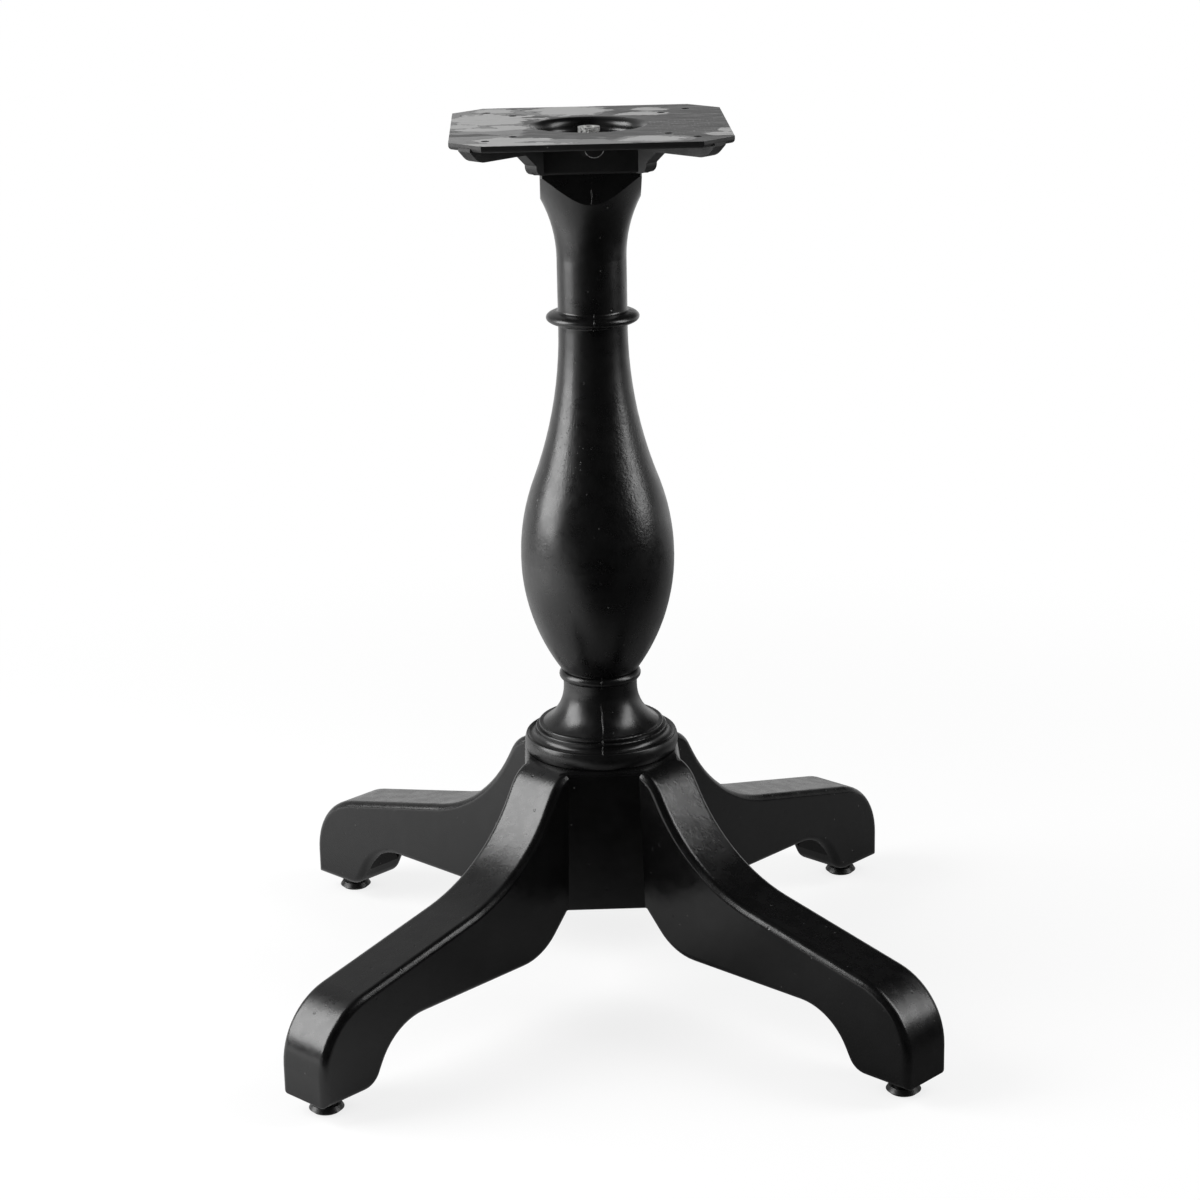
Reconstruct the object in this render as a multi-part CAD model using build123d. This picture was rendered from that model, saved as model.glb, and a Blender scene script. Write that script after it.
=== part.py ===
"""Cast pedestal table base: four-legged foot, turned column and fixing plate, held by one tie rod.

The floor is z = 0, the column stands on the z axis, and the sides of the fixing plate
are parallel to x and y. The legs run out along the diagonals. All sizes are millimetres.
"""
from build123d import *
import math
import os

# Heights that stack up to the whole
foot_gap = 15.0            # underside of the feet above the floor
base_height = 195.5        # underside of the feet to the deck that carries the column
column_height = 477.5      # column in view between deck and fixing plate
plate_height = 32.0        # fixing plate, from the bottom of its block to its top face

# Base casting: hub
hub_half_top = 63.3        # centre to a flat side, at the deck
hub_half_bottom = 66.6     # centre to a flat side, at the lower edge
hub_height = 118.5         # deck to the lower edge of the hub
hub_edge_round = 5.0
lower_edge_round = 1.5     # lower outer edges of hub and legs
hub_corner = 74.0          # centre to a corner face, hidden inside a leg
hub_wall = 9.0
deck_thickness = 9.0       # also the metal above the hollow of the legs
spigot_height = 6.0        # ring on the deck that centres the column
spigot_wall = 5.0

# Base casting: legs, drawn as a side outline of radius and height above the feet
leg_width = 50.0
leg_wall = 8.0             # side walls of the hollow underside
leg_edge_round = 6.0
shoulder_radius = 74.5     # where the deck turns down into the leg
shoulder_round = 30.0
knee_radius = 119.5        # where the steep upper leg meets the gentle lower leg
knee_height = 118.3
knee_round = 142.0
toe_radius = 338.0         # centre to the end of the foot
toe_top = 69.1             # height at which the top line of the leg would meet the toe
toe_round = 57.0
foot_length = 54.0         # end of the foot to its heel
heel_slant = 23.5          # how far the heel leans in towards the hub
heel_round = 18.0
arch_height = 43.8         # lower edge of the leg above the underside of the feet
arch_round = 50.0
rise_radius = 97.5         # where the lower edge starts to climb to the hub
rise_round = 50.0
web_setback = 9.0          # heel to the end wall of the hollow

# Column: radii and levels above the deck
column_wall = 7.0
torus_radius = 62.8
torus_level = 7.0
torus_foot = 61.0          # lower edge of the torus, on the deck
cove_radius = 61.0         # where the torus ends in a small cove below the rings
cove_level = 13.9
lower_ring_radius = 53.6   # two small rings above the cove
upper_ring_radius = 51.0
ring_level = 16.5
ring_height = 3.2
ring_round = 0.9           # outer edges of the rings and of the torus
cavetto_radius = 47.4      # foot of the hollow curve above the rings
waist_radius = 30.0
waist_level = 53.0
bead_radius = 33.3
bead_tube = 4.1
bead_level = 63.6
bulb_foot_radius = 31.4
bulb_foot_level = 68.7
belly_radius = 61.9
belly_level = 163.9
shoulder_arc = 179.0       # radius of the curve above the belly
neck_radius = 27.5
neck_drop = 128.0          # this and the next two are measured down from the fixing plate
collar_drop = 118.5
flare_drop = 71.5          # where the upper neck starts to flare
collar_radius = 37.0
collar_half_height = 4.8   # of its oval section
collar_blend = 1.6         # hollow rounding between collar and neck
head_half = 39.0           # centre to a flat side of the square head
head_edge_round = 3.0
head_lip = 2.0             # full square below the fixing plate
foot_bore = 44.0           # bore at the foot of the column
foot_bore_depth = 14.0

# Fixing plate
plate_side = 214.0
plate_cut = 24.5           # corner cut, measured along a side
plate_thickness = 5.2
rim_round = 3.0
block_side = 89.6
block_round = 2.5
socket_depth = 13.5        # how far the square head goes up into the block
dish_radius = 40.0
dish_lip = 6.0
dish_depth = 11.6
dish_corner = 4.0
dish_wall = 5.2
dish_draft_deg = 6.0
rib_width = 12.5
rib_depth = 14.4           # top face to the underside of the ribs
rib_reach = 134.5          # centre to the outer end of a rib
rib_run = 76.0             # centre to where the rib drops to the block
rib_heel = 65.0            # centre to the rib's inner upright
rib_heel_depth = 24.0
rib_end_round = 14.0
rib_heel_round = 7.0
screw_hole = 6.5
screw_outer = 158.8        # spacing of the outer four holes
screw_inner = 117.4        # spacing of the inner four holes

# Tie rod, nuts and washers
rod_diameter = 10.0
rod_tail = 7.0             # rod below the lower nut
rod_sink = 0.6             # rod end below the face of the top nut
rod_chamfer = 1.0
nut_flats = 17.0
nut_height = 8.0
nut_chamfer_deg = 30.0
washer_diameter = 20.0
washer_thickness = 2.0

# Levelling glides
glide_setback = 23.0       # end of the foot to the middle of the glide
stem_diameter = 8.0
stem_in_foot = 28.0
stem_in_glide = 6.0
stem_chamfer = 0.8
glide_height = 11.0
glide_disc = 27.4
glide_sole = 22.0
glide_widest = 2.4
glide_disc_height = 6.0
glide_shoulder = 23.0
glide_neck = 18.0

# Clearances
seat_clear = 0.3           # spigot in the column, head in its socket, on each side
thread_clear = 0.1         # threads drawn as plain cylinders, on the radius
bolt_clear = 0.5           # rod through castings and washers, on the radius
glide_clear = 0.08         # glide stem in its foot, on the radius

# Places along the legs, from the centre
heel_radius = toe_radius - foot_length
web_radius = heel_radius - web_setback
glide_radius = toe_radius - glide_setback

# Levels above the deck
neck_level = column_height - neck_drop
collar_level = column_height - collar_drop
flare_level = column_height - flare_drop

# Levels above the floor
deck_z = foot_gap + base_height
block_z = deck_z + column_height
top_z = block_z + plate_height
seat_z = block_z + socket_depth
hub_low_z = deck_z - hub_height
deck_under_z = deck_z - deck_thickness
dish_z = top_z - dish_depth
rod_hole = rod_diameter / 2 + bolt_clear
rib_z = top_z - rib_depth


def outline(points):
    """Face on the XZ plane from (radius, height, corner radius) points."""
    face = make_face(Polyline(*[(x, z) for x, z, _ in points], close=True))
    for x, z, corner in points:
        if corner:
            face = fillet(face.vertices().sort_by_distance((x, z, 0))[0], corner)
    return Plane.XZ * face


def prism(face, width):
    """A side outline given its thickness, half to each side."""
    return extrude(face, width / 2, both=True)


def on_diagonals(solid):
    """Four copies of a solid that lies along x, one on each diagonal."""
    return [Rot(0, 0, 45 + 90 * k) * solid for k in range(4)]


def turned(face):
    return revolve(face, Axis.Z)


# Base casting. One leg is a flat outline given the leg's width, with its upper edges rounded.
def leg():
    solid = prism(outline([
        (0, deck_z, 0),
        (shoulder_radius, deck_z, shoulder_round),
        (knee_radius, foot_gap + knee_height, knee_round),
        (toe_radius, foot_gap + toe_top, toe_round),
        (toe_radius, foot_gap, 0),
        (heel_radius, foot_gap, heel_round),
        (heel_radius - heel_slant, foot_gap + arch_height, arch_round),
        (rise_radius, foot_gap + arch_height, rise_round),
        (hub_half_bottom, hub_low_z, 0),
        (0, hub_low_z, 0),
    ]), leg_width)

    def beside(edge):
        return abs(abs(edge.center().Y) - leg_width / 2) < 0.01

    def on_sole(edge):
        return abs(edge.center().Z - foot_gap) < 0.01 and edge.center().X > heel_radius

    def on_crown(edge):
        above = edge.center().Z > hub_low_z or edge.center().X > heel_radius
        return beside(edge) and above and not on_sole(edge)

    def on_lower_edge(edge):
        return on_sole(edge) or beside(edge) and hub_half_bottom < edge.center().X < heel_radius + heel_round

    solid = fillet(solid.edges().filter_by(on_crown), leg_edge_round)
    return fillet(solid.edges().filter_by(on_lower_edge), lower_edge_round)


def moved_in(before, corner, after, inset):
    """Corner of an outline once the two lines that meet there have moved inwards."""
    before, corner, after = Vector(*before), Vector(*corner), Vector(*after)
    first = (corner - before).normalized()
    second = (after - corner).normalized()
    inward = Vector(first.Y + second.Y, -first.X - second.X)
    moved = corner + inward * (inset / (1 + first.dot(second)))
    return moved.X, moved.Y


def leg_hollow():
    shoulder = (shoulder_radius, deck_z)
    knee = (knee_radius, foot_gap + knee_height)
    toe = (toe_radius, foot_gap + toe_top)
    web_z = knee[1] + (toe[1] - knee[1]) * (web_radius - knee[0]) / (toe[0] - knee[0])
    return prism(outline([
        (0, 0, 0),
        (0, deck_under_z, 0),
        (*moved_in((0, deck_z), shoulder, knee, deck_thickness), 0),
        (*moved_in(shoulder, knee, toe, deck_thickness), knee_round - deck_thickness),
        (web_radius, web_z - deck_thickness, leg_wall),
        (web_radius, 0, 0),
    ]), leg_width - 2 * leg_wall)


def hub_block(shrink, low, high):
    """Drafted eight-sided block: four sides in view, four hidden inside the legs."""
    draft = math.degrees(math.atan2(hub_half_bottom - hub_half_top, hub_height))
    half = hub_half_bottom - shrink
    plan = Rectangle(2 * half, 2 * half)
    plan = chamfer(plan.vertices(), 2 * half - math.sqrt(2) * (hub_corner - shrink))
    return Pos(0, 0, low) * extrude(plan, high - low, taper=draft)


def base_casting():
    hub = hub_block(0, hub_low_z, deck_z)
    hub = fillet(hub.faces().sort_by(Axis.Z)[-1].edges(), hub_edge_round)
    hub = fillet(hub.faces().sort_by(Axis.Z)[0].edges(), lower_edge_round)
    spigot_r = foot_bore - seat_clear
    spigot = Pos(0, 0, deck_z) * extrude(Circle(spigot_r) - Circle(spigot_r - spigot_wall), spigot_height)
    body = hub + on_diagonals(leg()) + spigot
    body -= hub_block(hub_wall, hub_low_z, deck_under_z)
    body -= on_diagonals(leg_hollow())
    body -= Pos(0, 0, deck_z) * Cylinder(rod_hole, 4 * deck_thickness)
    stem_hole = Cylinder(stem_diameter / 2 + glide_clear, 2 * (stem_in_foot + stem_in_glide))
    return body - on_diagonals(Pos(glide_radius, 0, foot_gap) * stem_hole)


# Column: a turned outline for the outside, cut square at the head, and a cored inside.
def upright_arc(start, end, way):
    """Arc that leaves its start upright, going up (1) or down (-1)."""
    return TangentArc(start, end, tangent=(0, way))


def ogee(low, high, low_arc):
    """Swell and hollow between two upright ends, meeting smoothly."""
    turn = 2 * math.atan2(low[0] - high[0], high[1] - low[1])
    meet = (low[0] - low_arc * (1 - math.cos(turn)), low[1] + low_arc * math.sin(turn))
    return [upright_arc(low, meet, 1), upright_arc(high, meet, -1)]


def lathe(curves, low, high):
    """Solid turned from outline curves, closed onto the axis at two levels."""
    closing = Polyline(high, (0, high[1]), (0, low[1]), low)
    return revolve(Plane.XZ * make_face([*curves, closing]), Axis.Z)


def column_outside():
    foot = (torus_foot, 0)
    cove = (cove_radius, cove_level)
    ring_z = ring_level + ring_height
    cavetto = (cavetto_radius, ring_z + ring_height)
    waist = (waist_radius, waist_level)
    bead_low = (waist_radius, bead_level - bead_tube)
    bead_high = (waist_radius, bead_level + bead_tube)
    bulb_foot = (bulb_foot_radius, bulb_foot_level)
    belly = (belly_radius, belly_level)
    neck = (neck_radius, neck_level)
    collar_low = (neck_radius, collar_level - collar_half_height)
    collar_high = (neck_radius, collar_level + collar_half_height)
    collar_middle = (neck_radius, collar_level)
    collar_reach = collar_radius - neck_radius
    flare = (neck_radius, flare_level)
    turned_outside = lathe([
        ThreePointArc(foot, (torus_radius, torus_level), cove),
        upright_arc((lower_ring_radius, ring_level), cove, -1),
        Polyline((lower_ring_radius, ring_level), (lower_ring_radius, ring_z), (upper_ring_radius, ring_z),
                 (upper_ring_radius, ring_z + ring_height), cavetto),
        upright_arc(waist, cavetto, -1),
        Line(waist, bead_low),
        ThreePointArc(bead_low, (bead_radius, bead_level), bead_high),
        Polyline(bead_high, (waist_radius, bulb_foot_level), bulb_foot),
        upright_arc(belly, bulb_foot, -1),
        *ogee(belly, neck, shoulder_arc),
        Line(neck, collar_low),
        EllipticalCenterArc(collar_middle, collar_reach, collar_half_height, -90, arc_size=180),
        Line(collar_high, flare),
    ], foot, flare)
    sharp = [foot, cove, (lower_ring_radius, ring_z), (upper_ring_radius, ring_z + ring_height)]

    def circles_at(corners):
        def at_corner(edge):
            return any(math.dist((edge.radius, edge.center().Z), corner) < 0.01 for corner in corners)

        return turned_outside.edges().filter_by(GeomType.CIRCLE).filter_by(at_corner)

    turned_outside = fillet(circles_at(sharp), ring_round)
    return fillet(circles_at([collar_low, collar_high]), collar_blend)


def column_head():
    corner = math.sqrt(2) * head_half
    lip_z = column_height - head_lip
    seat = column_height + socket_depth
    turned_head = lathe([
        upright_arc((neck_radius, flare_level), (corner, lip_z), 1),
        Line((corner, lip_z), (corner, seat)),
    ], (neck_radius, flare_level), (corner, seat))
    square = fillet(Rectangle(2 * head_half, 2 * head_half).vertices(), head_edge_round)
    return turned_head & Pos(0, 0, flare_level) * extrude(square, seat - flare_level)


def column_core():
    neck_in = neck_radius - column_wall
    waist_in = waist_radius - column_wall
    head_in = head_half - column_wall
    seat = column_height + socket_depth
    belly = (belly_radius - column_wall, belly_level)
    neck = (neck_in, neck_level)
    flare = (neck_in, flare_level)
    flare_top = (head_in, column_height - 2 * column_wall)
    bulb_foot = (waist_in, bulb_foot_level)
    return lathe([
        Polyline((foot_bore, 0), (foot_bore, foot_bore_depth), (waist_in, waist_level), bulb_foot),
        upright_arc(belly, bulb_foot, -1),
        *ogee(belly, neck, shoulder_arc - column_wall),
        Line(neck, flare),
        upright_arc(flare, flare_top, 1),
        Line(flare_top, (head_in, seat)),
    ], (foot_bore, 0), (head_in, seat))


def column():
    return Pos(0, 0, deck_z) * (column_outside() + column_head() - column_core())


# Fixing plate: plate, dish, block and ribs are one casting.
def plate_rib():
    slant = rib_depth - plate_thickness
    inside = top_z - plate_thickness / 2
    return prism(outline([
        (0, inside, 0),
        (rib_reach, inside, 0),
        (rib_reach, top_z - plate_thickness, 0),
        (rib_reach - slant, rib_z, rib_end_round),
        (rib_run, rib_z, 0),
        (rib_heel, top_z - rib_heel_depth, 0),
        (rib_heel, block_z, rib_heel_round),
        (0, block_z, 0),
    ]), rib_width)


def top_plate():
    plan = chamfer(Rectangle(plate_side, plate_side).vertices(), plate_cut)
    plate = Pos(0, 0, top_z - plate_thickness) * extrude(plan, plate_thickness)
    plate = fillet(plate.faces().sort_by(Axis.Z)[0].edges(), rim_round)
    block = Pos(0, 0, block_z) * extrude(Rectangle(block_side, block_side), plate_height - plate_thickness / 2)
    block = fillet(block.faces().sort_by(Axis.Z)[0].edges(), block_round)
    cup_r = dish_radius + dish_wall
    cup_rise = top_z - plate_thickness / 2 - seat_z
    cup = Pos(0, 0, seat_z) * extrude(Circle(cup_r), cup_rise, taper=-dish_draft_deg)
    body = plate + block + cup + on_diagonals(plate_rib())
    body -= turned(outline([
        (0, dish_z, 0),
        (dish_radius, dish_z, dish_corner),
        (dish_radius, top_z, 0),
        (0, top_z, 0),
    ]))
    lip = body.edges().filter_by(GeomType.CIRCLE).group_by(Axis.Z)[-1]
    body = fillet(lip.filter_by(lambda edge: abs(edge.radius - dish_radius) < 0.01), dish_lip)
    mouth = fillet(Rectangle(*[2 * (head_half + seat_clear)] * 2).vertices(), head_edge_round)
    body -= Pos(0, 0, block_z) * extrude(mouth, socket_depth)
    body -= Pos(0, 0, top_z) * Cylinder(rod_hole, 2 * plate_height)
    for spacing in (screw_outer, screw_inner):
        for place in GridLocations(spacing, spacing, 2, 2):
            body -= place * Pos(0, 0, top_z) * Cylinder(screw_hole / 2, 2 * plate_height)
    return body


# Tie rod, nuts and washers
def hex_nut():
    corner = nut_flats / math.sqrt(3)
    bevel = (corner - nut_flats / 2) * math.tan(math.radians(nut_chamfer_deg))
    hexagon = extrude(RegularPolygon(nut_flats / 2, 6, major_radius=False, rotation=30), nut_height)
    turned_blank = turned(outline([
        (0, 0, 0),
        (nut_flats / 2, 0, 0),
        (corner, bevel, 0),
        (corner, nut_height - bevel, 0),
        (nut_flats / 2, nut_height, 0),
        (0, nut_height, 0),
    ]))
    return (hexagon & turned_blank) - Cylinder(rod_diameter / 2 + thread_clear, 3 * nut_height)


def washer():
    return extrude(Circle(washer_diameter / 2) - Circle(rod_hole), washer_thickness)


def chamfered_bar(diameter, low, high, edge):
    bar = Pos(0, 0, low) * extrude(Circle(diameter / 2), high - low)
    return chamfer(bar.edges().filter_by(GeomType.CIRCLE), edge)


# Levelling glide: a moulded foot on a threaded stem
def glide_foot():
    neck = glide_neck / 2
    body = turned(outline([
        (0, 0, 0),
        (glide_sole / 2, 0, 0),
        (glide_disc / 2, glide_widest, 0),
        (glide_shoulder / 2, glide_disc_height, 0),
        (neck, glide_disc_height, 0),
        (neck, glide_height, 0),
        (0, glide_height, 0),
    ]))
    return body - Pos(0, 0, glide_height) * Cylinder(stem_diameter / 2, 2 * stem_in_glide)


def glide_stem():
    return chamfered_bar(stem_diameter, glide_height - stem_in_glide, foot_gap + stem_in_foot, stem_chamfer)


top_nut_z = dish_z + washer_thickness
low_nut_z = deck_under_z - washer_thickness - nut_height
parts = {
    "base_casting": base_casting(),
    "column": column(),
    "top_plate": top_plate(),
    "tie_rod": chamfered_bar(rod_diameter, low_nut_z - rod_tail, top_nut_z + nut_height - rod_sink, rod_chamfer),
    "top_washer": Pos(0, 0, dish_z) * washer(),
    "top_nut": Pos(0, 0, top_nut_z) * hex_nut(),
    "bottom_washer": Pos(0, 0, deck_under_z - washer_thickness) * washer(),
    "bottom_nut": Pos(0, 0, low_nut_z) * hex_nut(),
}
corners = {"rear_right": 45, "rear_left": 135, "front_left": 225, "front_right": 315}
for corner, angle in corners.items():
    place = Rot(0, 0, angle) * Pos(glide_radius, 0, 0)
    parts["glide_foot_" + corner] = place * glide_foot()
    parts["glide_stem_" + corner] = place * glide_stem()

os.makedirs("parts", exist_ok=True)
for name, shape in parts.items():
    shape.label = name
    export_step(shape, f"parts/{name}.step")
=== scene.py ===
import math

import bmesh
import bpy
from mathutils import Matrix, Vector


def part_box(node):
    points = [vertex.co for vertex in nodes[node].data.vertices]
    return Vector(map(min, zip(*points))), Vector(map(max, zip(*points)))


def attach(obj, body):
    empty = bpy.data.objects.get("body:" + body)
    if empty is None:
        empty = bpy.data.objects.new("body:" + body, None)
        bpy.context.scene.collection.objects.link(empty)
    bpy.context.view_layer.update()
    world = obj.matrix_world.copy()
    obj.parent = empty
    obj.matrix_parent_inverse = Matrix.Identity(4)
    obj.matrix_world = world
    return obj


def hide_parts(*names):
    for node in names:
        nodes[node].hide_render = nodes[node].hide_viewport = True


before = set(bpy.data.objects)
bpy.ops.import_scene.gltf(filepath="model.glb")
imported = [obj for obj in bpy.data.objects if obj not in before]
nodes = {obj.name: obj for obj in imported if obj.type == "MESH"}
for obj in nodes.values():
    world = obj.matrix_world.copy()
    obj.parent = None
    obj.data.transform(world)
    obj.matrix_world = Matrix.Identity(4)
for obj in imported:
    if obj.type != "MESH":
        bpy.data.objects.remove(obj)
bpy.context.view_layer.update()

# Base casting: a square hub and four scrolled legs poured as one piece of grey iron, hollow below.
# It is blasted and sprayed with satin black paint, which keeps the grain and small pits of the sand mould.
paint_black = (0.0018, 0.0018, 0.0019, 1.0)
paint_dusty = (0.0034, 0.0034, 0.0035, 1.0)
paint_speck = (0.060, 0.060, 0.058, 1.0)
dust_per_m = 26.0
dust_shows = (0.45, 0.75)
specks_per_m = 330.0
speck_size = 0.24
speck_share = 0.010
dot_core = 0.55
sheen_per_m = 85.0
sheen_swing = (0.3, 0.7)
leg_sheen = (0.17, 0.24)
leg_top_dulling = 0.07
leg_top_facing = (0.15, 0.60)
casting_wave_per_m = 40.0
casting_wave_depth = 0.00030
sand_grain_per_m = 900.0
sand_grain_depth = 0.00006
grain_on_tops = 0.90
grain_on_sides = 0.10
coarse_skin_per_m = 380.0
coarse_skin_depth = 0.00024
coarse_skin_reach = (0.185, 0.125)
coarse_patches_per_m = 55.0
coarse_patches_show = (0.35, 0.60)
coarse_between_patches = 0.25
front_right_leg = (0.06, 0.12)
coarse_on_other_legs = 0.50
pits_per_m = 210.0
pit_depth = 0.00016
leg_pit_size = 0.30
leg_pit_share = 0.04


def put(tree, kind, sockets=None, **settings):
    """Adds one shader node; sockets are values or other nodes' outputs."""
    made = tree.nodes.new("ShaderNode" + kind)
    for name, value in settings.items():
        setattr(made, name, value)
    for key, value in (sockets or {}).items():
        if isinstance(value, bpy.types.NodeSocket):
            tree.links.new(value, made.inputs[key])
        else:
            made.inputs[key].default_value = value
    return made


def noise(tree, place, per_m, detail=3.0, roughness=0.55):
    """Noise of so many grains to the metre, from 0 to 1."""
    sockets = {"Vector": place, "Scale": per_m, "Detail": detail, "Roughness": roughness}
    return put(tree, "TexNoise", sockets).outputs["Fac"]


def ramp(tree, value, start, end, first=0.0, last=1.0):
    """Carries a value from one range to another, smoothly and without running past the ends."""
    sockets = {"Value": value, "From Min": start, "From Max": end, "To Min": first, "To Max": last}
    return put(tree, "MapRange", sockets, interpolation_type="SMOOTHSTEP").outputs["Result"]


def calc(tree, operation, first, second):
    """One step of arithmetic on two values."""
    return put(tree, "Math", {0: first, 1: second}, operation=operation).outputs[0]


def times(tree, *shares):
    """Product of several shares."""
    result = shares[0]
    for share in shares[1:]:
        result = calc(tree, "MULTIPLY", result, share)
    return result


def tint(tree, share, under, over):
    """Two colours mixed by a share."""
    made = put(tree, "Mix", {"Factor": share, 6: under, 7: over}, data_type="RGBA")
    return made.outputs[2]


def relief(tree, height, depth, below=None, strength=1.0):
    """Small bumps of a given depth, laid over another set; strength may be a share that fades them out."""
    sockets = {"Height": height, "Distance": depth, "Strength": strength}
    if below is not None:
        sockets["Normal"] = below
    return put(tree, "Bump", sockets).outputs["Normal"]


def split(tree, vector):
    """The three parts of a place or a direction."""
    made = put(tree, "SeparateXYZ", {"Vector": vector}).outputs
    return made["X"], made["Y"], made["Z"]


def level_part(tree, x, y):
    """The part of a place that lies level, as a vector from the axis."""
    return put(tree, "CombineXYZ", {"X": x, "Y": y}).outputs[0]


def length(tree, vector):
    """How long a vector is."""
    return put(tree, "VectorMath", {0: vector}, operation="LENGTH").outputs["Value"]


def new_finish(name):
    """Empty material, with the place on the piece and the way that the surface faces."""
    made = bpy.data.materials.new(name)
    made.use_nodes = True
    made.node_tree.nodes.clear()
    coordinates = put(made.node_tree, "TexCoord").outputs
    return made, made.node_tree, coordinates["Object"], coordinates["Normal"]


def finish_surface(tree, colour, roughness, normal, metallic=0.0):
    """Ends a material with its shader."""
    sockets = {"Base Color": colour, "Roughness": roughness, "Normal": normal, "Metallic": metallic}
    shader = put(tree, "BsdfPrincipled", sockets)
    put(tree, "OutputMaterial", {"Surface": shader.outputs["BSDF"]})


def scattered(tree, place, per_m, size, share):
    """Round dots strewn at random, 1 inside a dot and 0 outside; share is the part of the cells with one."""
    cells = put(tree, "TexVoronoi", {"Vector": place, "Scale": per_m, "Randomness": 1.0})
    dot = ramp(tree, cells.outputs["Distance"], size, size * dot_core)
    pick = put(tree, "SeparateColor", {"Color": cells.outputs["Color"]}).outputs["Red"]
    return times(tree, dot, calc(tree, "LESS_THAN", pick, share))


def black_paint_colour(tree, place):
    """Black with a thin uneven dust and a few pale specks."""
    dust = ramp(tree, noise(tree, place, dust_per_m, detail=6.0, roughness=0.65), *dust_shows)
    specks = scattered(tree, place, specks_per_m, speck_size, speck_share)
    return tint(tree, specks, tint(tree, dust, paint_black, paint_dusty), paint_speck)


def uneven_sheen(tree, place, sheen):
    """Roughness of sprayed paint, which drifts between two values."""
    return ramp(tree, noise(tree, place, sheen_per_m, detail=5.0, roughness=0.6), *sheen_swing, *sheen)


def cast_skin(tree, place, grain_depth, grain_strength=1.0):
    """The slow waves of a casting, with the grain of the sand mould on them."""
    waves = relief(tree, noise(tree, place, casting_wave_per_m, detail=2.0), casting_wave_depth)
    grain = noise(tree, place, sand_grain_per_m, detail=2.0)
    return relief(tree, grain, grain_depth, waves, grain_strength)


def painted_legs():
    made, tree, place, facing = new_finish("satin_black_casting")
    x, y, _ = split(tree, place)
    upward = ramp(tree, split(tree, facing)[2], *leg_top_facing)
    near_hub = ramp(tree, length(tree, level_part(tree, x, y)), *coarse_skin_reach)
    front_right = ramp(tree, calc(tree, "SUBTRACT", x, y), *front_right_leg, coarse_on_other_legs, 1.0)
    patchy = ramp(tree, noise(tree, place, coarse_patches_per_m), *coarse_patches_show,
                  coarse_between_patches, 1.0)
    coarse = times(tree, upward, near_hub, front_right, patchy)
    roughness = calc(tree, "ADD", uneven_sheen(tree, place, leg_sheen), times(tree, upward, leg_top_dulling))
    grain = calc(tree, "ADD", times(tree, upward, grain_on_tops), grain_on_sides)
    normal = cast_skin(tree, place, sand_grain_depth, grain)
    coarse_skin = noise(tree, place, coarse_skin_per_m, roughness=0.6)
    normal = relief(tree, coarse_skin, coarse_skin_depth, normal, coarse)
    pits = scattered(tree, place, pits_per_m, leg_pit_size, leg_pit_share)
    normal = relief(tree, pits, -pit_depth, normal)
    finish_surface(tree, black_paint_colour(tree, place), roughness, normal)
    return made


def dress(node_name, material):
    """Gives a CAD node its finish."""
    slots = nodes[node_name].data.materials
    slots.clear()
    slots.append(material)


casting_paint = painted_legs()
dress("base_casting", casting_paint)

# Leg shoulders: the tops of the legs, where the round of each leg runs up over a corner of the hub.
# They are the same casting, with the corners of the hub dressed down by hand to the sweep of the legs.
deck_level = 0.2105
leg_half_width = 0.025
leg_count = 4
first_leg_turn = math.radians(45.0)
shoulder_start = 0.05725
shoulder_round = 0.030
dressed_depth = 0.0045
dressing_passes = (0.0575, 0.0590, 0.0605, 0.0620, 0.0635, 0.0650, 0.0665, 0.0680, 0.0695)
cut_tolerance = 1e-7
joining_tolerance = 1e-6
side_wall_facing = 0.2


def place_piece(name, mesh, body):
    """Puts a finished mesh in the scene, where it rides on a body."""
    made = bpy.data.objects.new(name, mesh)
    bpy.context.scene.collection.objects.link(made)
    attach(made, body)
    return made


def cut_across(shape, outward):
    """Cuts the top of the hub into strips across one leg, so that it can follow the round."""
    for reach in dressing_passes:
        top = [face for face in shape.faces
               if all(corner.co.z > deck_level - dressed_depth for corner in face.verts)
               and any(corner.co.dot(outward) > shoulder_start for corner in face.verts)]
        edges = {edge for face in top for edge in face.edges}
        corners = {corner for face in top for corner in face.verts}
        bmesh.ops.bisect_plane(shape, geom=top + list(edges) + list(corners), dist=cut_tolerance,
                               plane_co=outward * reach, plane_no=outward)


def level_drop(along):
    """How far the round of a shoulder has fallen below the deck."""
    return shoulder_round - math.sqrt(shoulder_round ** 2 - along ** 2)


def dress_down(shape, facing, outward):
    """Lowers what stands above the shoulder of one leg to its round, and turns the shading with it."""
    sideways = Vector((-outward.y, outward.x, 0.0))
    for corner in shape.verts:
        along = corner.co.dot(outward) - shoulder_start
        if not 0.0 < along < shoulder_round / 2 or abs(corner.co.dot(sideways)) > leg_half_width:
            continue
        level = deck_level - level_drop(along)
        if corner.co.z < level - joining_tolerance:
            continue
        corner.co.z = level
        for loop in corner.link_loops:
            if abs(loop[facing].dot(sideways)) < side_wall_facing:
                loop[facing] = outward * along + Vector((0.0, 0.0, shoulder_round - level_drop(along)))
                loop.face.smooth = True


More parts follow.
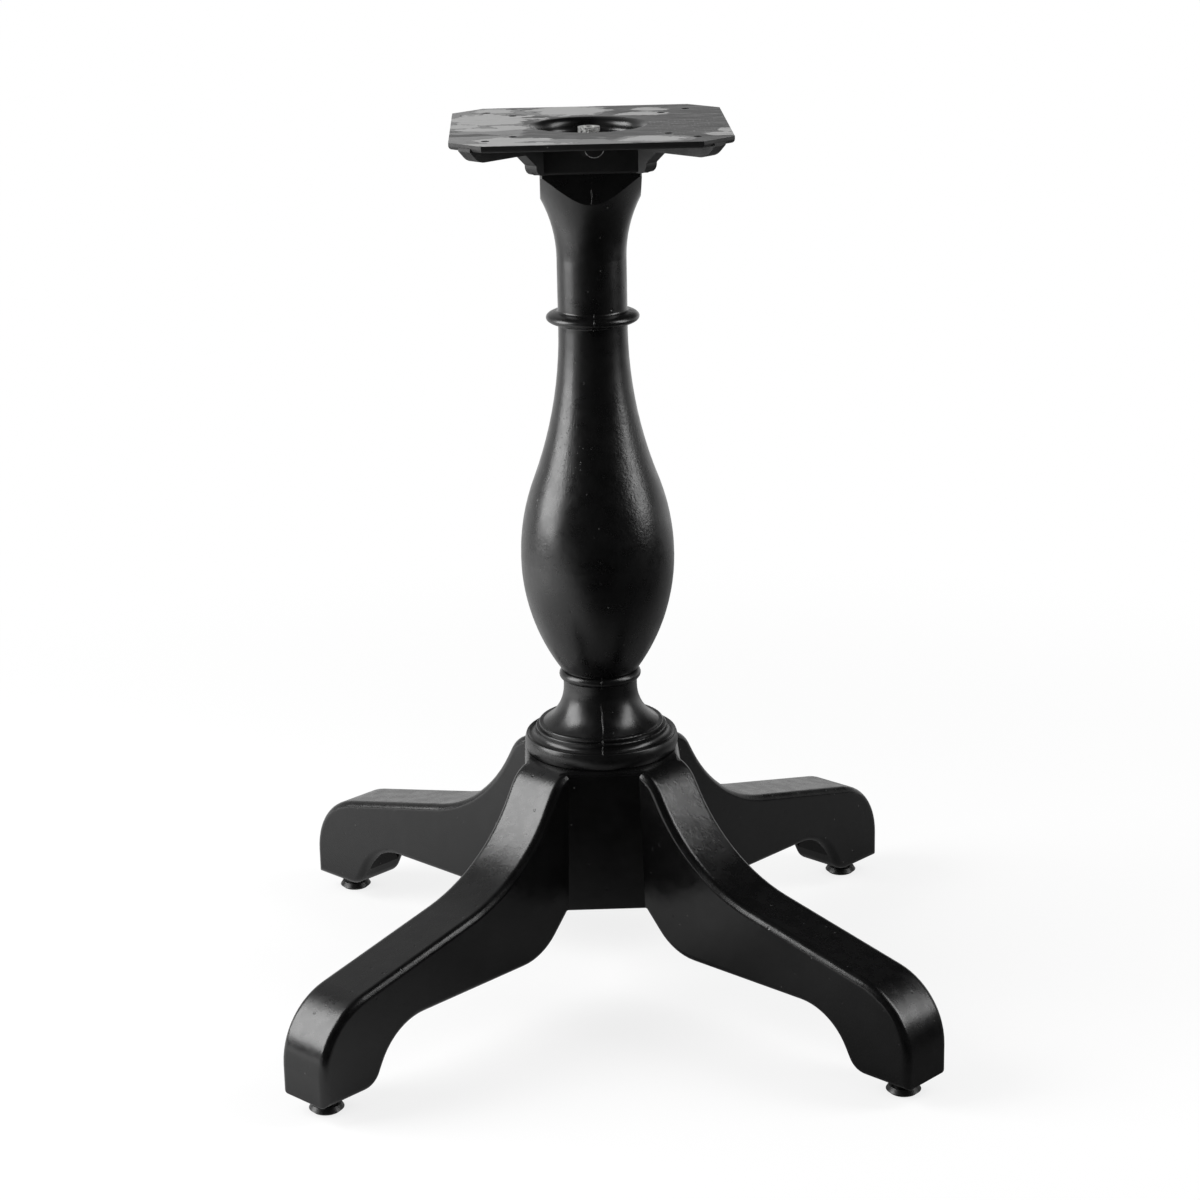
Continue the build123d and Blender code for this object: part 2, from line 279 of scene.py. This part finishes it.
def dressed_casting():
    solid = nodes["base_casting"].data
    shape = bmesh.new()
    shape.from_mesh(solid)
    facing = shape.loops.layers.float_vector.new("facing")
    for face, polygon in zip(shape.faces, solid.polygons):
        for loop, corner in zip(face.loops, polygon.loop_indices):
            loop[facing] = solid.corner_normals[corner].vector
    bmesh.ops.remove_doubles(shape, verts=shape.verts[:], dist=joining_tolerance)
    for leg in range(leg_count):
        turn = first_leg_turn + 2.0 * math.pi * leg / leg_count
        outward = Vector((math.cos(turn), math.sin(turn), 0.0))
        cut_across(shape, outward)
        dress_down(shape, facing, outward)
    ways = [loop[facing].normalized() for face in shape.faces for loop in face.loops]
    shape.loops.layers.float_vector.remove(facing)
    mesh = bpy.data.meshes.new("base_casting_dressed")
    shape.to_mesh(mesh)
    shape.free()
    mesh.normals_split_custom_set(ways)
    mesh.materials.clear()
    mesh.materials.append(casting_paint)
    made = place_piece("base_casting_dressed", mesh, "frame")
    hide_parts("base_casting")


dressed_casting()

# Column: a hollow turned baluster of cast iron, with a square head, a collar, a bulb and a ringed foot.
# Its skin was dressed up and down by hand before the same paint, and coarse spots of the casting still show.
column_sheen = (0.26, 0.34)
column_grain_depth = 0.000025
column_front = (0.0, -0.012)
bulb_levels = (0.350, 0.390, 0.500, 0.540)
streak_draw = (1.0, 1.0, 0.045)
streaks_per_m = 620.0
streak_depth = 0.00011
streak_bands_per_m = 55.0
streak_bands_show = (0.40, 0.62)
crinkle_per_m = 360.0
crinkle_depth = 0.00030
crinkle_across = (0.004, 0.016, 0.036, 0.050)
crinkle_levels = (0.385, 0.405, 0.470, 0.530)
crinkle_patches_per_m = 30.0
crinkle_patches_show = (0.48, 0.66)
crinkle_in_patches = 0.7
pitted_across = (-0.034, -0.027, -0.013, -0.008)
pitted_levels = (0.44, 0.46, 0.49, 0.51)
fine_pits_per_m = 520.0
fine_pit_size = 0.32
fine_pit_share = 0.22
column_pit_size = 0.28
column_pit_share = 0.03


def stretched(tree, place, scale):
    """Coordinates squeezed along some axes, so that a noise is drawn out there."""
    return put(tree, "VectorMath", {0: place, 1: scale}, operation="MULTIPLY").outputs["Vector"]


def between(tree, value, levels):
    """1 between the two middle levels, fading to 0 at the outer two."""
    low, full, still_full, high = levels
    return times(tree, ramp(tree, value, low, full), ramp(tree, value, high, still_full))


def painted_column():
    made, tree, place, _ = new_finish("satin_black_column")
    x, y, z = split(tree, place)
    on_bulb = between(tree, z, bulb_levels)
    on_front = ramp(tree, y, *column_front)
    crinkled = times(tree, between(tree, z, crinkle_levels), between(tree, x, crinkle_across), on_front)
    patchy = ramp(tree, noise(tree, place, crinkle_patches_per_m), *crinkle_patches_show)
    crinkled = calc(tree, "MAXIMUM", crinkled, times(tree, patchy, on_bulb, crinkle_in_patches))
    drawn_out = stretched(tree, place, streak_draw)
    streaky = ramp(tree, noise(tree, drawn_out, streak_bands_per_m, detail=2.0), *streak_bands_show)
    streaky = times(tree, streaky, on_bulb)
    pitted = times(tree, between(tree, x, pitted_across), on_front, between(tree, z, pitted_levels))
    fine_pits = times(tree, scattered(tree, place, fine_pits_per_m, fine_pit_size, fine_pit_share), pitted)
    pits = scattered(tree, place, pits_per_m, column_pit_size, column_pit_share)
    normal = cast_skin(tree, place, column_grain_depth)
    normal = relief(tree, noise(tree, drawn_out, streaks_per_m), streak_depth, normal, streaky)
    crinkles = noise(tree, place, crinkle_per_m, detail=3.5, roughness=0.6)
    normal = relief(tree, crinkles, crinkle_depth, normal, crinkled)
    normal = relief(tree, calc(tree, "ADD", fine_pits, pits), -pit_depth, normal)
    roughness = uneven_sheen(tree, place, column_sheen)
    finish_surface(tree, black_paint_colour(tree, place), roughness, normal)
    return made


column_paint = painted_column()
dress("column", column_paint)

# Mould seams: the fine ridges down the front and back of the column where the two halves of the mould met.
# They are part of the casting, ground nearly away on the bulb and still plain at the head and on the foot.
seam_half_width = 0.0006
seam_spread = 0.6
seam_sink = 0.00012
seam_levels = (0.2140, 0.6860)
seam_step = 0.0014
seam_faint = 0.00002
column_clearance = 0.2
# Each place where more of the seam was left: its level, its reach up and down, and how far it stands out.
seam_ridges = ((0.246, 0.014, 0.00030), (0.2320, 0.0032, 0.00090), (0.2260, 0.0034, 0.00060),
               (0.2755, 0.0022, 0.00060), (0.5715, 0.0030, 0.00050), (0.670, 0.008, 0.00030),
               (0.480, 0.045, 0.00003))
# How the seam wanders from side to side: how far, and how fast along its length.
seam_wander = ((0.0004, 190.0), (0.0002, 613.0))
mark_level = 0.2500
mark_reach = (0.0018, 0.0092)
mark_height = 0.00035
mark_sway = 0.0004
mark_bend = 5.0
mark_steps = 12


def seam_height(level):
    """How far the ridge stands out: faint, with a few places where more was left."""
    stands = seam_faint
    for middle, reach, height in seam_ridges:
        off = (level - middle) / reach
        stands += height * max(0.0, 1.0 - off * off) ** 2
    return stands


def on_column(across, level, side, lift):
    """Point of the column's skin on its front (-1) or back (1), lifted off it."""
    start = Vector((across, column_clearance * side, level))
    found, place, normal, _ = nodes["column"].ray_cast(start, Vector((0.0, -side, 0.0)))
    if not found:
        raise ValueError("the seam left the column")
    return place + normal * lift


def skinned_piece(name, outlines, material, body):
    """Piece skinned over a row of like outlines and closed at both ends, which rides on a body."""
    shape = bmesh.new()
    rows = [[shape.verts.new(point) for point in outline] for outline in outlines]
    count = len(rows[0])
    for before, after in zip(rows, rows[1:]):
        for corner in range(count):
            following = (corner + 1) % count
            shape.faces.new((before[corner], before[following], after[following], after[corner]))
    shape.faces.new(rows[0])
    shape.faces.new(rows[-1])
    bmesh.ops.recalc_face_normals(shape, faces=shape.faces[:])
    mesh = bpy.data.meshes.new(name)
    shape.to_mesh(mesh)
    shape.free()
    mesh.materials.append(material)
    for face in mesh.polygons:
        face.use_smooth = True
    return place_piece(name, mesh, body)


def mould_seam(name, side):
    low, high = seam_levels
    count = round((high - low) / seam_step)
    outlines = []
    for step in range(count + 1):
        level = low + (high - low) * step / count
        stands = seam_height(level)
        half = seam_half_width + seam_spread * stands
        middle = sum(sway * math.sin(level * pace) for sway, pace in seam_wander)
        outlines.append([on_column(middle - half, level, side, -seam_sink),
                         on_column(middle, level, side, stands),
                         on_column(middle + half, level, side, -seam_sink)])
    skinned_piece(name, outlines, column_paint, "frame")


def cross_mark():
    """Short ridge that runs off the front seam on the foot."""
    start, end = mark_reach
    outlines = []
    for step in range(mark_steps + 1):
        share = step / mark_steps
        across = start + (end - start) * share
        level = mark_level + mark_sway * math.sin(mark_bend * share)
        stands = mark_height * math.sin(math.pi * share)
        outlines.append([on_column(across, level - seam_half_width, -1, -seam_sink),
                         on_column(across, level, -1, stands),
                         on_column(across, level + seam_half_width, -1, -seam_sink)])
    skinned_piece("column_cross_mark", outlines, column_paint, "frame")


mould_seam("column_seam_front", -1)
mould_seam("column_seam_back", 1)
cross_mark()

# Fixing plate: an iron plate with clipped corners, a dish for the nut, a block below and four ribs.
# It is one casting. Its top face was ground and thinly painted by hand, so that bare grey patches show
# through the black.
plate_mid_grey = (0.245, 0.245, 0.245, 1.0)
plate_pale_grey = (0.420, 0.420, 0.417, 1.0)
plate_dark_grey = (0.080, 0.080, 0.080, 1.0)
plate_thin_black = (0.016, 0.016, 0.016, 1.0)
plate_dusty_black = (0.045, 0.045, 0.045, 1.0)
plate_top_level = 0.720
plate_top_skin = (0.0006, 0.0003)
plate_top_facing = (0.90, 0.98)
plate_sheen = (0.56, 0.64)
dish_edge = 0.0455
dish_lip = 0.001
dish_levels = (0.700, 0.704)
dish_facing = (0.010, 0.004)
dish_polish = 0.30
brush_draw = (0.10, 1.0, 1.0)
brush_marks_per_m = 420.0
brush_mark_depth = 0.00006
brush_sheen = (0.35, 0.65, 0.30, 0.42)
scuffs_show = (0.46, 0.72)
# Each patch of bare or thinly covered iron: middle x and y, half length and half width.
grey_fields = ((-0.094, 0.012, 0.048, 0.118), (-0.022, 0.084, 0.040, 0.030), (0.046, -0.086, 0.032, 0.018),
               (-0.042, -0.101, 0.076, 0.026))
pale_islands = ((-0.100, 0.004, 0.015, 0.011), (-0.083, -0.017, 0.023, 0.009), (-0.062, -0.007, 0.014, 0.012),
                (-0.076, 0.040, 0.036, 0.030), (-0.064, -0.077, 0.031, 0.015), (-0.013, 0.083, 0.029, 0.028),
                (0.047, 0.056, 0.021, 0.012), (0.050, 0.080, 0.014, 0.010), (0.046, -0.084, 0.024, 0.012),
                (0.104, -0.045, 0.010, 0.010), (0.098, -0.067, 0.012, 0.008), (-0.075, 0.089, 0.017, 0.014),
                (-0.066, -0.099, 0.042, 0.008))
dark_strips = ((-0.094, -0.046, 0.028, 0.007), (-0.032, 0.095, 0.019, 0.008), (-0.105, -0.021, 0.010, 0.007))
patch_fade = (1.4, 0.6)
tear_draw = (0.55, 1.0, 1.0)
tears_per_m = 90.0
grey_tearing = 1.2
pale_tearing = 2.2
dark_tearing = 2.4
torn_edge = (0.47, 0.53)
grey_rub = (0.30, 0.60, 0.70, 1.0)
pale_rub = (0.30, 0.55, 0.62, 1.0)
# Dark rim round the pale patches: partly lifted black paint, partly painted shade under its raised edge.
lifted_paint_and_shade = (0.33, 0.41, 0.45, 0.49)
lifted_shade_share = 0.75
crumbs_across = (0.035, 0.050, 0.090, 0.104)
crumbs_along = (-0.082, -0.067, 0.008, 0.022)
crumbs_per_m = 360.0
crumb_size = 0.36
crumb_share = 0.40
crumb_cover = 0.8
bare_dulling = 0.10
bare_depth = 0.00010


def patches(tree, place, tear, outlines, tearing):
    """How far inside a set of torn islands a place lies: over a half on an island, under a half off it."""
    inside = None
    for middle_x, middle_y, half_x, half_y in outlines:
        middle = (middle_x, middle_y, plate_top_level)
        off = put(tree, "VectorMath", {0: place, 1: middle}, operation="SUBTRACT").outputs["Vector"]
        away = length(tree, stretched(tree, off, (1.0 / half_x, 1.0 / half_y, 0.0)))
        island = ramp(tree, calc(tree, "ADD", away, times(tree, tear, tearing)), *patch_fade)
        inside = island if inside is None else calc(tree, "MAXIMUM", inside, island)
    return inside


def worn_plate_colour(tree, x, y, place, brush_marks, grey, pale_depth, pale, dark):
    """Thin black on the top face, with the crumbs and bare patches of its wear, and lifted edges with painted
    shade.
    """
    colour = tint(tree, ramp(tree, brush_marks, *scuffs_show), plate_thin_black, plate_dusty_black)
    on_right = times(tree, between(tree, x, crumbs_across), between(tree, y, crumbs_along))
    crumbs = times(tree, scattered(tree, place, crumbs_per_m, crumb_size, crumb_share), on_right, crumb_cover)
    colour = tint(tree, crumbs, colour, plate_mid_grey)
    colour = tint(tree, times(tree, grey, ramp(tree, brush_marks, *grey_rub)), colour, plate_mid_grey)
    colour = tint(tree, dark, colour, plate_dark_grey)
    colour = tint(tree, times(tree, pale, ramp(tree, brush_marks, *pale_rub)), colour, plate_pale_grey)
    # The dark rim round each pale patch is partly lifted black paint and partly painted shade under its edge.
    lifted_edge_and_shade = times(tree, between(tree, pale_depth, lifted_paint_and_shade), lifted_shade_share)
    return tint(tree, lifted_edge_and_shade, colour, plate_thin_black)


def painted_plate():
    made, tree, place, facing = new_finish("scuffed_black_plate")
    x, y, z = split(tree, place)
    level_place = level_part(tree, x, y)
    from_axis = length(tree, level_place)
    skin_start, skin_full = plate_top_skin
    on_top = times(tree, ramp(tree, z, plate_top_level - skin_start, plate_top_level - skin_full),
                   ramp(tree, split(tree, facing)[2], *plate_top_facing),
                   ramp(tree, from_axis, dish_edge, dish_edge + dish_lip))
    outward = put(tree, "VectorMath", {0: facing, 1: level_place}, operation="DOT_PRODUCT").outputs["Value"]
    in_dish = times(tree, ramp(tree, from_axis, dish_edge + dish_lip, dish_edge),
                    ramp(tree, z, *dish_levels), ramp(tree, outward, *dish_facing))
    brushed = stretched(tree, place, brush_draw)
    brush_marks = noise(tree, brushed, brush_marks_per_m, detail=4.0, roughness=0.65)
    tear = noise(tree, stretched(tree, place, tear_draw), tears_per_m, detail=6.0, roughness=0.62)
    tear = calc(tree, "SUBTRACT", tear, 0.5)
    grey = ramp(tree, patches(tree, place, tear, grey_fields, grey_tearing), *torn_edge)
    pale_depth = patches(tree, place, tear, pale_islands, pale_tearing)
    pale = ramp(tree, pale_depth, *torn_edge)
    dark = ramp(tree, patches(tree, place, tear, dark_strips, dark_tearing), *torn_edge)
    bare = calc(tree, "MAXIMUM", grey, pale)
    worn_colour = worn_plate_colour(tree, x, y, place, brush_marks, grey, pale_depth, pale, dark)
    colour = tint(tree, on_top, black_paint_colour(tree, place), worn_colour)
    sprayed = uneven_sheen(tree, place, plate_sheen)
    sprayed = calc(tree, "SUBTRACT", sprayed, times(tree, in_dish, dish_polish))
    worn = calc(tree, "ADD", ramp(tree, brush_marks, *brush_sheen), times(tree, bare, bare_dulling))
    off_top = calc(tree, "SUBTRACT", 1.0, on_top)
    roughness = calc(tree, "ADD", times(tree, sprayed, off_top), times(tree, worn, on_top))
    normal = cast_skin(tree, place, sand_grain_depth)
    normal = relief(tree, brush_marks, brush_mark_depth, normal, on_top)
    normal = relief(tree, bare, bare_depth, normal, on_top)
    finish_surface(tree, colour, roughness, normal)
    return made


plate_paint = painted_plate()
dress("top_plate", plate_paint)

# Flash line: the thin curved fin on the front of the block, under the dish of the plate.
# It is iron that ran into the joint of the mould, painted over with the plate.
# Its crest is pale grey in patches, a painted highlight that stands for the glint along the fin.
flash_radius = 0.0075
flash_middle = (0.0027, 0.7082)
flash_turns = (math.radians(198.0), math.radians(342.0))
flash_height = 0.00060
flash_half_width = 0.0005
flash_end_fade = 20.0
flash_mean = 0.60
flash_swing = 0.40
flash_steps = 36
# Pale grey of the painted highlight along the crest, and the black paint of the fin.
flash_painted_highlight = (0.30, 0.30, 0.30, 1.0)
flash_painted = (0.06, 0.06, 0.06, 1.0)
flash_highlight_per_m = 500.0
flash_highlight_show = (0.35, 0.55)
flash_roughness = 0.42
block_clearance = 0.08


def flash_with_painted_highlight():
    made, tree, place, _ = new_finish("flash_line_painted_highlight")
    # Pale grey in patches along the fin is a painted highlight, standing for its glint.
    highlight_share = ramp(tree, noise(tree, place, flash_highlight_per_m), *flash_highlight_show)
    colour = tint(tree, highlight_share, flash_painted, flash_painted_highlight)
    grain = noise(tree, place, sand_grain_per_m, detail=2.0)
    finish_surface(tree, colour, flash_roughness, relief(tree, grain, sand_grain_depth))
    return made


def on_block(across, level, lift):
    """Point of the front of the block, lifted off it."""
    start = Vector((across, -block_clearance, level))
    found, place, _, _ = nodes["top_plate"].ray_cast(start, Vector((0.0, 1.0, 0.0)))
    if not found:
        raise ValueError("the flash line left the block")
    return place - Vector((0.0, lift, 0.0))


def flash_line():
    middle_across, middle_level = flash_middle
    first_turn, last_turn = flash_turns
    outlines = []
    for step in range(flash_steps + 1):
        share = step / flash_steps
        turn = first_turn + (last_turn - first_turn) * share
        fade = min(1.0, flash_end_fade * share, flash_end_fade * (1.0 - share))
        crest = flash_height * (fade * (flash_mean + flash_swing * math.cos(2.0 * turn)))
        outline = []
        for off, lift in ((-flash_half_width, -seam_sink), (0.0, crest), (flash_half_width, -seam_sink)):
            across = middle_across + (flash_radius + off) * math.cos(turn)
            level = middle_level + (flash_radius + off) * math.sin(turn)
            outline.append(on_block(across, level, lift))
        outlines.append(outline)
    skinned_piece("plate_flash_line", outlines, flash_with_painted_highlight(), "frame")


flash_line()

# Tie rod with its nuts and washers: zinc-plated steel, drawn up tight to clamp plate, column and base.
# The rod is plain in the middle and has a rolled thread at each end for its nut.
zinc_bright = (0.80, 0.80, 0.78, 1.0)
zinc_dull = (0.46, 0.46, 0.45, 1.0)
zinc_stain = (0.10, 0.10, 0.095, 1.0)
zinc_grain_per_m = 1100.0
zinc_grain_shows = (0.35, 0.65)
zinc_grain_depth = 0.00010
zinc_stains_per_m = 420.0
zinc_stains_show = (0.62, 0.72)
zinc_sheen_per_m = 500.0
zinc_sheen = (0.24, 0.48)
rod_pitch = 0.0015
rod_thread_depth = 0.00085
rod_thread_length = 0.045
rod_end_chamfer = 0.001
rod_sides = 32
thread_rows_to_a_turn = 6
thread_flank = 2.2
thread_crest = 0.6
plain_part_rows = (0.02, 0.5, 0.98)


def zinc_plate(name):
    made, tree, place, _ = new_finish(name)
    grain = noise(tree, place, zinc_grain_per_m, detail=4.0, roughness=0.7)
    stain = ramp(tree, noise(tree, place, zinc_stains_per_m, detail=4.0, roughness=0.7), *zinc_stains_show)
    colour = tint(tree, ramp(tree, grain, *zinc_grain_shows), zinc_dull, zinc_bright)
    colour = tint(tree, stain, colour, zinc_stain)
    roughness = ramp(tree, noise(tree, place, zinc_sheen_per_m), *sheen_swing, *zinc_sheen)
    finish_surface(tree, colour, roughness, relief(tree, grain, zinc_grain_depth), metallic=1.0)
    return made


def thread_levels(low, high, thread_length, pitch):
    """Levels of the outlines along a bar: close together in the thread at each end, far apart between."""
    fine = pitch / thread_rows_to_a_turn
    steps = int(thread_length / fine)
    levels = [low + fine * step for step in range(steps + 1)]
    plain_start = levels[-1]
    plain_end = high - thread_length
    if plain_end > plain_start + fine:
        levels += [plain_start + (plain_end - plain_start) * share for share in plain_part_rows]
    upper_start = max(plain_end, plain_start)
    upper = [upper_start + fine * step for step in range(1, steps)]
    levels += [level for level in upper if level < high - fine / 2]
    levels.append(high)
    return levels


def threaded_bar(name, node_name, body, pitch, depth, thread_length, chamfer, sides):
    """Bar with a screw thread cut into each end, in the place of the plain node."""
    low_corner, high_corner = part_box(node_name)
    middle = (low_corner + high_corner) / 2
    radius = (high_corner.x - low_corner.x) / 2
    low = low_corner.z
    high = high_corner.z
    outlines = []
    for level in thread_levels(low, high, thread_length, pitch):
        from_end = min(level - low, high - level)
        outline = []
        for side in range(sides):
            turn = 2.0 * math.pi * side / sides
            phase = ((level - low) / pitch - side / sides) % 1.0
            groove = min(1.0, max(0.0, thread_flank * abs(2.0 * phase - 1.0) - thread_crest))
            cut = depth * groove if from_end < thread_length else 0.0
            reach = min(radius - cut, radius - max(0.0, chamfer - from_end))
            outline.append((middle.x + reach * math.cos(turn), middle.y + reach * math.sin(turn), level))
        outlines.append(outline)
    made = skinned_piece(name, outlines, fastener_zinc, body)
    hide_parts(node_name)


fastener_zinc = zinc_plate("zinc_plated_steel")
for fastener in ("top_washer", "top_nut", "bottom_washer", "bottom_nut", "tie_rod"):
    dress(fastener, fastener_zinc)
threaded_bar("tie_rod_threaded", "tie_rod", "frame", rod_pitch, rod_thread_depth, rod_thread_length,
             rod_end_chamfer, rod_sides)

# Levelling glides: a black moulded foot on a threaded stem, screwed up into the end of each leg.
# The foot is nylon, glossy from the mould and scuffed on its sole; the stem is the same zinc-plated steel.
glide_black = (0.0030, 0.0030, 0.0031, 1.0)
glide_scuffed = (0.012, 0.012, 0.012, 1.0)
glide_scuffs_per_m = 160.0
glide_scuffs_show = (0.5, 0.75)
glide_sole = (0.004, 0.001, 0.25, 1.0)
glide_sheen_per_m = 220.0
glide_sheen = (0.34, 0.46)
glide_grain_per_m = 1500.0
glide_grain_depth = 0.00002
stem_pitch = 0.00125
stem_thread_depth = 0.0007
stem_end_chamfer = 0.0008
stem_sides = 28


def glide_nylon():
    made, tree, place, _ = new_finish("black_moulded_glide")
    scuff = ramp(tree, noise(tree, place, glide_scuffs_per_m, detail=5.0, roughness=0.7), *glide_scuffs_show)
    worn = times(tree, scuff, ramp(tree, split(tree, place)[2], *glide_sole))
    colour = tint(tree, worn, glide_black, glide_scuffed)
    roughness = ramp(tree, noise(tree, place, glide_sheen_per_m), *sheen_swing, *glide_sheen)
    grain = noise(tree, place, glide_grain_per_m, detail=2.0)
    finish_surface(tree, colour, roughness, relief(tree, grain, glide_grain_depth))
    return made


moulded_glide = glide_nylon()
for corner in ("front_left", "front_right", "rear_left", "rear_right"):
    stem = "glide_stem_" + corner
    dress("glide_foot_" + corner, moulded_glide)
    dress(stem, fastener_zinc)
    stem_low, stem_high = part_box(stem)
    threaded_bar("stem_thread_" + corner, stem, "glide_" + corner, stem_pitch, stem_thread_depth,
                 (stem_high.z - stem_low.z) / 2, stem_end_chamfer, stem_sides)

# Studio: a pale floor that runs out to a white surround, a large soft lamp to the left
# and a narrower one to the right. The room on the camera's side and overhead is left dim.
floor_white = (0.86, 0.86, 0.86, 1.0)
plain_white = (1.0, 1.0, 1.0, 1.0)
plain_black = (0.0, 0.0, 0.0, 1.0)
floor_reach = 14.0
floor_sides = 96
floor_shadow = 0.22
floor_shadow_reach = (0.45, 1.3)
# How bright the floor looks in the paint, with painted shade that darkens it towards the camera and to the
# right:
# two places on it, then the brightness at each of them.
floor_left = (0.10, -0.35, 0.28, 0.74)
floor_far_left = (-0.55, -1.10, 0.0, 0.38)
floor_near_camera = (-0.65, -0.15, 0.12, 1.0)
floor_near_camera_slant = -0.7
floor_far_behind = (0.4, 2.4, 0.0, 0.95)
floor_straight_ahead = (0.15, 0.6, 2.0, 4.0)
floor_straight_ahead_dimming = 0.85
# The same for the surround, by the direction in which it lies.
surround_fill = 0.40
surround_low = (0.0, 0.45, 1.0, 0.02)
surround_high = (0.15, 0.45)
surround_left = (0.05, -0.20, 0.0, 0.48)
surround_behind = (-0.15, 0.95, 0.05, 1.0)
lamp_aim = Vector((0.0, 0.0, 0.38))
left_lamp_place = Vector((-1.57, -0.13, 1.03))
left_lamp_size = (1.10, 1.55)
left_lamp_brightness = 8.4
right_lamp_place = Vector((1.46, -0.25, 1.20))
right_lamp_size = (0.60, 1.50)
right_lamp_brightness = 6.5


def rays_that_see_white(tree):
    """1 for rays that come from the camera or go through something clear, and the glossy rays apart."""
    path = put(tree, "LightPath").outputs
    return calc(tree, "MAXIMUM", path["Is Camera Ray"], path["Is Transmission Ray"]), path["Is Glossy Ray"]


def floor_shade_painted_for_reflections(tree, x, y):
    """Painted shade on the floor where the paint mirrors it: darker towards the camera and to the right."""
    from_left = calc(tree, "ADD", ramp(tree, x, *floor_left), ramp(tree, x, *floor_far_left))
    towards_camera = calc(tree, "ADD", y, times(tree, x, floor_near_camera_slant))
    aside = put(tree, "Math", {0: x}, operation="ABSOLUTE").outputs[0]
    straight_ahead = calc(tree, "SUBTRACT", times(tree, y, -1.0), aside)
    dimming = times(tree, between(tree, straight_ahead, floor_straight_ahead), floor_straight_ahead_dimming)
    return times(tree, from_left, ramp(tree, towards_camera, *floor_near_camera),
                 calc(tree, "SUBTRACT", 1.0, dimming))


def pale_floor():
    made, tree, place, _ = new_finish("pale_floor")
    seen, mirrored = rays_that_see_white(tree)
    x, y, _ = split(tree, place)
    # For glossy rays the floor colour carries painted shade, darker towards the camera and to the right.
    reflected_floor_painted_shade = tint(tree, floor_shade_painted_for_reflections(tree, x, y), plain_black, floor_white)
    floor_colour = tint(tree, mirrored, floor_white, reflected_floor_painted_shade)
    lit = put(tree, "BsdfDiffuse", {"Color": floor_colour}).outputs["BSDF"]
    glow = put(tree, "Emission", {"Color": plain_white, "Strength": 1.0}).outputs["Emission"]
    out_of_shadow = ramp(tree, length(tree, place), *floor_shadow_reach, 1.0 - floor_shadow, 1.0)
    share = calc(tree, "ADD", times(tree, seen, out_of_shadow),
                 times(tree, mirrored, ramp(tree, y, *floor_far_behind)))
    both = put(tree, "MixShader", {0: share, 1: lit, 2: glow}).outputs[0]
    under = put(tree, "NewGeometry").outputs["Backfacing"]
    clear = put(tree, "BsdfTransparent").outputs[0]
    top_only = put(tree, "MixShader", {0: under, 1: both, 2: clear}).outputs[0]
    put(tree, "OutputMaterial", {"Surface": top_only})
    return made


def floor_disc():
    mesh = bpy.data.meshes.new("floor")
    shape = bmesh.new()
    bmesh.ops.create_circle(shape, cap_ends=True, cap_tris=False, segments=floor_sides, radius=floor_reach)
    shape.to_mesh(mesh)
    shape.free()
    mesh.materials.append(pale_floor())
    made = bpy.data.objects.new("floor", mesh)
    bpy.context.scene.collection.objects.link(made)


def white_surround():
    made = bpy.data.worlds.new("white_surround")
    made.use_nodes = True
    tree = made.node_tree
    tree.nodes.clear()
    seen, mirrored = rays_that_see_white(tree)
    x, y, z = split(tree, put(tree, "TexCoord").outputs["Generated"])
    high_left = times(tree, ramp(tree, z, *surround_high), ramp(tree, x, *surround_left))
    above = calc(tree, "ADD", ramp(tree, z, *surround_low), high_left)
    behind = times(tree, ramp(tree, y, *surround_behind), above)
    fill = times(tree, calc(tree, "SUBTRACT", 1.0, mirrored), surround_fill)
    fill = calc(tree, "ADD", fill, times(tree, mirrored, behind))
    strength = calc(tree, "MAXIMUM", seen, fill)
    sky = put(tree, "Background", {"Color": plain_white, "Strength": strength})
    put(tree, "OutputWorld", {"Surface": sky.outputs[0]})
    bpy.context.scene.world = made


def soft_lamp(name, place, size, brightness):
    """Rectangular lamp aimed at the middle of the object. Brightness 1 looks as white as the surround."""
    width, height = size
    lamp = bpy.data.lights.new(name, "AREA")
    lamp.shape = "RECTANGLE"
    lamp.size = width
    lamp.size_y = height
    lamp.energy = brightness * math.pi * width * height
    made = bpy.data.objects.new(name, lamp)
    made.location = place
    made.rotation_mode = "QUATERNION"
    made.rotation_quaternion = (lamp_aim - place).to_track_quat("-Z", "Y")
    made.visible_camera = False
    bpy.context.scene.collection.objects.link(made)


floor_disc()
white_surround()
soft_lamp("left_lamp", left_lamp_place, left_lamp_size, left_lamp_brightness)
soft_lamp("right_lamp", right_lamp_place, right_lamp_size, right_lamp_brightness)

# Camera: a long lens at the height of a standing viewer, looking a little down at the base.
# Its place, its turns and its lens were fitted to the outline of the base in a square picture.
camera_place = Vector((-0.0532046, -2.2469899, 1.0258074))
camera_yaw = math.radians(1.3849)
camera_pitch = math.radians(17.0746)
camera_roll = math.radians(-1.1830)
camera_focal_px = 2897.1012
picture_px = 1200.0
sensor_mm = 36.0
camera_clip = (0.05, 60.0)


def photo_camera():
    ahead = Vector((
        math.sin(camera_yaw) * math.cos(camera_pitch),
        math.cos(camera_yaw) * math.cos(camera_pitch),
        -math.sin(camera_pitch)))
    right = Vector((math.cos(camera_yaw), -math.sin(camera_yaw), 0.0))
    up = right.cross(ahead)
    leaning_right = math.cos(camera_roll) * right + math.sin(camera_roll) * up
    leaning_up = math.cos(camera_roll) * up - math.sin(camera_roll) * right
    lens = bpy.data.cameras.new("photo_camera")
    lens.sensor_width = sensor_mm
    lens.lens = sensor_mm * camera_focal_px / picture_px
    lens.clip_start, lens.clip_end = camera_clip
    made = bpy.data.objects.new("photo_camera", lens)
    turn = Matrix((leaning_right, leaning_up, -ahead)).transposed()
    made.matrix_world = Matrix.Translation(camera_place) @ turn.to_4x4()
    bpy.context.scene.collection.objects.link(made)
    bpy.context.scene.camera = made


photo_camera()
bpy.context.scene.view_settings.view_transform = "Standard"
